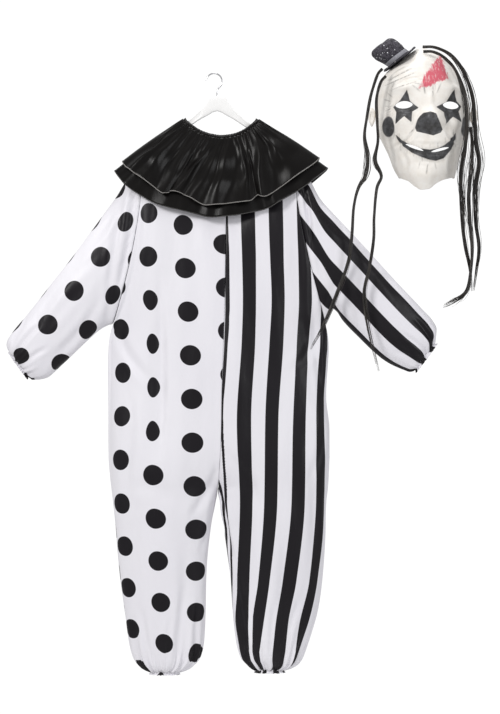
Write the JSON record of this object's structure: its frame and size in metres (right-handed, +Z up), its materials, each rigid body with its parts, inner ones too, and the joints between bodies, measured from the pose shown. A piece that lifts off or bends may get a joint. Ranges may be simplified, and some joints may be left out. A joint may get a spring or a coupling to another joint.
{
  "type": "clown costume: jumpsuit, ruffle collar and mask on a hanger",
  "caption": "Clown costume on a hanger: satin jumpsuit, one half dotted and the other striped, with a black ruffle collar and a painted mask with a top hat and long hair.",
  "frame": {"origin": "inner top of the hanger's hook, where a rod bears", "axes": "+Z up, +X to the viewer's right, the front faces -Y"},
  "size_m": [1.2713, 0.1972, 1.7195],
  "materials": {
    "dot_satin": "white satin printed with black dots, soft sheen",
    "stripe_satin": "white satin printed with black stripes, soft sheen",
    "black_satin": "glossy black satin, light overlocked hems",
    "white_plastic": "satin",
    "bright_wire": "polished",
    "latex": "matt painted latex",
    "elastic": "woven elastic",
    "glitter_felt": "felt with fine glitter",
    "silver_ribbon": "metallic ribbon",
    "hair": "long synthetic hair"
  },
  "bodies": {
    "root": {"dot_front": "dot_satin", "dot_back": "dot_satin", "dot_sleeve": "dot_satin", "dot_cuff": "dot_satin", "dot_ankle": "dot_satin", "stripe_front": "stripe_satin", "stripe_back": "stripe_satin", "stripe_sleeve": "stripe_satin", "stripe_cuff": "stripe_satin", "stripe_ankle": "stripe_satin", "back_placket": "dot_satin", "collar_band": "black_satin", "collar_lower": "black_satin", "collar_upper": "black_satin", "hanger_body": "white_plastic", "hanger_hook": "bright_wire", "mask_face": "latex", "mask_ear_left": "latex", "mask_ear_right": "latex", "mask_strap": "elastic", "hat_brim": "glitter_felt", "hat_crown": "glitter_felt", "hat_band": "silver_ribbon", "hair_left_outer": "hair", "hair_left_inner": "hair", "hair_right_outer": "hair", "hair_right_inner": "hair", "hair_right_tail": "hair"}
  },
  "joints": []
}
